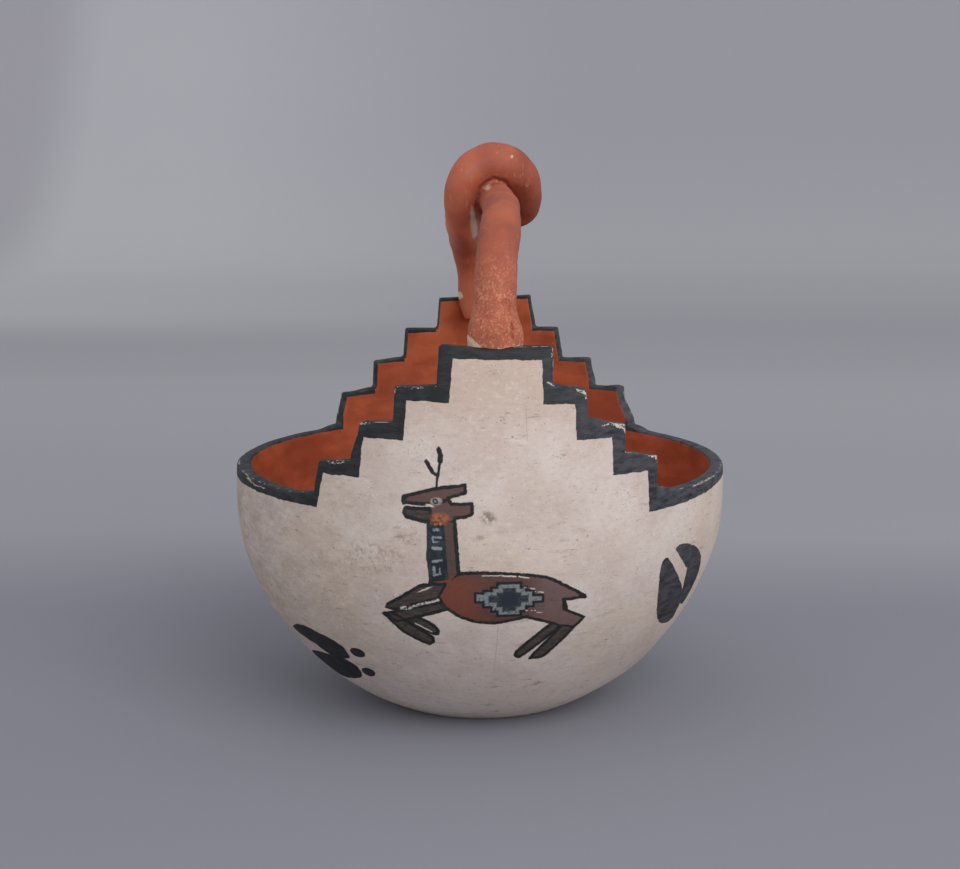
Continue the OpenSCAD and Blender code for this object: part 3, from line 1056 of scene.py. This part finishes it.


# %% [markdown]
# The roll is bare red clay. It is smooth at the top, where hands hold it, and sandy and paler low on the front
# leg. Cream slip was dabbed into the joints and was only partly covered again, and a few dull spots and scratches
# tell of use. Light and shade are painted on it as well: it is lighter on the left of the ring and on the strand
# behind the front leg, darker on the ring's right, and a dark painted shade lies in the crease where the leg
# passes through the ring.

# %% Red clay
def make_clay():
    material, place, x, y, z = start_material("red clay")
    front_map = place.node("CombineXYZ", {}, {0: x, 1: z, 2: 1.0})
    cloudy = noise(place, 7, 4, 0.55)
    leg = y.rise(-38, -46)
    low_leg = leg * z.rise(140, 122)
    grains = noise(place, 0.62, 3, 0.7)
    clumped = grains + noise(place, 2.6, 3, 0.6) * 0.5 - 0.25
    worn = noise(place, 8, 2).rise(0.48, 0.6)
    scratched = noise(stretch(place, 1.7, 1, 0.4), 1.5, 4, 0.65)
    ragged = unsteady(front_map, place, 1.2, 0.6)
    slip_wedge = patch(ragged, [(-6, 107), (1.4, 109.6), (-0.8, 111.4), (-3.6, 114), (-6, 114.6)]) | (y + 50)
    slip_seam = patch(ragged, [(3, 108), (14, 108), (14, 111.2), (8, 110.5), (3, 109.9)]) | (y + 50)
    sliver = blot(ragged, (-1.8, 136.6), (5.4, 0.85), 95) | (y.math("ABSOLUTE", y - 4) - 16)
    # A dark painted shade along the crease where the front leg passes through the ring.
    painted_crease_shade = strokes(
        ragged, ((-1.4, 142.4), (0.2, 148.4), 0.3), ((0.2, 148.4), (3.6, 151), 0.3),
        ((3.6, 151), (7.4, 149.6), 0.45), ((7.4, 149.6), (10.2, 145), 0.35),
    ) | (y.math("ABSOLUTE", y + 3) - 3.5)
    joint = blot(ragged, (-6.4, 111.2), (1.1, 1.2)) | (30 - y)
    crumbs = join(blot(ragged, (2, 148.1), (0.9, 0.34), 30), blot(ragged, (9, 156.6), (0.32, 0.42)))
    cream = join(slip_wedge, slip_seam, sliver, joint, crumbs | (y.math("ABSOLUTE", y) - 20))
    dull = join(blot(ragged, (-5.9, 131), (0.9, 1.8), 10), blot(ragged, (-2.6, 152.4), (1.2, 2.4), -40))
    clay = coats(
        colour(156, 78, 56),
        (cloudy.rise(0.36, 0.64), (172, 90, 64)),
        (noise(place, 13, 2).rise(0.48, 0.66) * 0.5, (144, 74, 58)),
        # Painted light: the left of the ring and the strand behind it are lighter, where the lamp from the right
        # leaves them in shade.
        (x.rise(2, -5) * y.rise(-25, -12) * 0.7, (186, 100, 74)),
        # Painted light on the back strand, in the shade of the front leg.
        (x.rise(1, -3) * y.rise(-4, 6) * z.rise(147, 139) * z.rise(124, 135) * 0.8, (222, 132, 102)),
        # Painted shade on the ring's right side.
        (x.rise(8, 13) * z.rise(135, 140) * 0.45, (118, 52, 38)),
        (leg * z.rise(118, 128) * z.rise(146, 137) * 0.4, (132, 62, 46)),
        (low_leg * 0.4, (180, 102, 74)),
        (low_leg * clumped.rise(0.5, 0.66) * 0.7, (210, 140, 110)),
        (low_leg * clumped.rise(0.42, 0.3) * 0.6, (138, 72, 54)),
        (grains.rise(0.6, 0.72) * 0.3, (188, 120, 96)),
        (worn * scratched.rise(0.56, 0.7) * 0.5, (200, 146, 124)),
        (cover(painted_crease_shade, 1) * 0.75, (84, 36, 28)),
        (cover(cream, 0.5) * 0.95, (212, 188, 164)),
        (cover(dull, 1.8) * 0.3, (150, 116, 104)),
    )
    bumps = cloudy * 0.25 + grains * (0.04 + low_leg * 0.16) + scratched * worn * 0.05
    return finish_material(material, clay, 0.55 + cloudy * 0.15, bumps, Specular_IOR_Level=0.35)


handle.data.materials.clear()
handle.data.materials.append(make_clay())


# %% [markdown]
# The pot stands on a grey cloth that sweeps up behind it, with light and shade painted on it. Its light is one
# large soft window at the front and the right, not far above the table, a weaker lamp from the left, and an even
# grey sky, at a level where a colour renders about as it is written.

# %% The floor and the light
bpy.ops.object.select_all(action="DESELECT")
bpy.ops.mesh.primitive_plane_add(size=3, location=(0, 0.2, 0))
sweep = bpy.context.object
sweep.name = "sweep"
bpy.ops.object.mode_set(mode="EDIT")
pick(lambda edge: all(point.co.y > 1.4 for point in edge.verts), "edges")
bpy.ops.mesh.extrude_region_move(TRANSFORM_OT_translate={"value": (0, 0, 1.6)})
pick(lambda edge: all(point.co.y > 1.4 and point.co.z < 0.1 for point in edge.verts), "edges")
bpy.ops.mesh.bevel(offset=0.5, segments=24, affect="EDGES")
bpy.ops.object.mode_set(mode="OBJECT")
bpy.ops.object.shade_smooth()


def make_cloth():
    """Grey, with light and shade painted on: darker and bluer in front of the pot, palest where the cloth begins to
    rise, painted shade at the left front, a painted pool of light with broad soft folds behind the pot on the left,
    and painted shade further back at the far left.
    """
    material, place, x, y, z = start_material("grey cloth")
    away = y + z
    folds = noise(place, 420, 2, 0.4)
    grey = coats(
        colour(135, 135, 144),
        # Painted light and shade: the grey steps from darker in front to palest where the cloth begins to rise.
        (away.rise(-126, 20), (157, 156, 163)),
        (away.rise(50, 384), (168, 167, 173)),
        (away.rise(390, 470), (166, 165, 171)),
        (away.rise(600, 1050), (183, 182, 187)),
        (away.rise(1100, 1500), (172, 171, 178)),
        # Painted shade at the left front.
        (x.rise(10, -110) * away.rise(60, -40) * 0.15, (128, 128, 140)),
        # A painted pool of light behind the pot on the left.
        (x.rise(120, -330) * away.rise(560, 760) * (0.2 + folds * 0.4), (212, 210, 215)),
        # Painted shade further back at the far left.
        (x.rise(-400, -480) * away.rise(800, 1300) * 0.6, (164, 161, 168)),
    )
    return finish_material(material, grey, Roughness=0.9, Specular_IOR_Level=0.2)


sweep.data.materials.append(make_cloth())


def soft_lamp(name, place, size, watts):
    """A square lamp that points at the middle of the pot."""
    bpy.ops.object.light_add(type="AREA", location=place)
    lamp = bpy.context.object
    lamp.name = name
    lamp.data.size = size
    lamp.data.energy = watts
    lamp.rotation_euler = (Vector((0, 0, 0.06)) - lamp.location).to_track_quat("-Z", "Y").to_euler()


soft_lamp("window", (0.6, -0.98, 0.72), 1.1, 11)
soft_lamp("side lamp", (-1.0, -0.7, 0.4), 1.0, 1.3)
sky = bpy.data.worlds.new("sky")
sky.use_nodes = True
sky.node_tree.nodes["Background"].inputs["Color"].default_value = (0.95, 0.97, 1.0, 1)
sky.node_tree.nodes["Background"].inputs["Strength"].default_value = 0.7
bpy.context.scene.world = sky
bpy.context.scene.view_settings.view_transform = "Standard"


# %% [markdown]
# Last, both pieces are tied to the frame. They stand for the one node of the CAD model, and both are still the
# same fired clay, so they ride on the same body.

# %% Tying the pieces to the frame
for piece, finish in ((bowl, "cream_slip_clay"), (handle, "red_clay")):
    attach(piece, "root")
    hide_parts("pot")
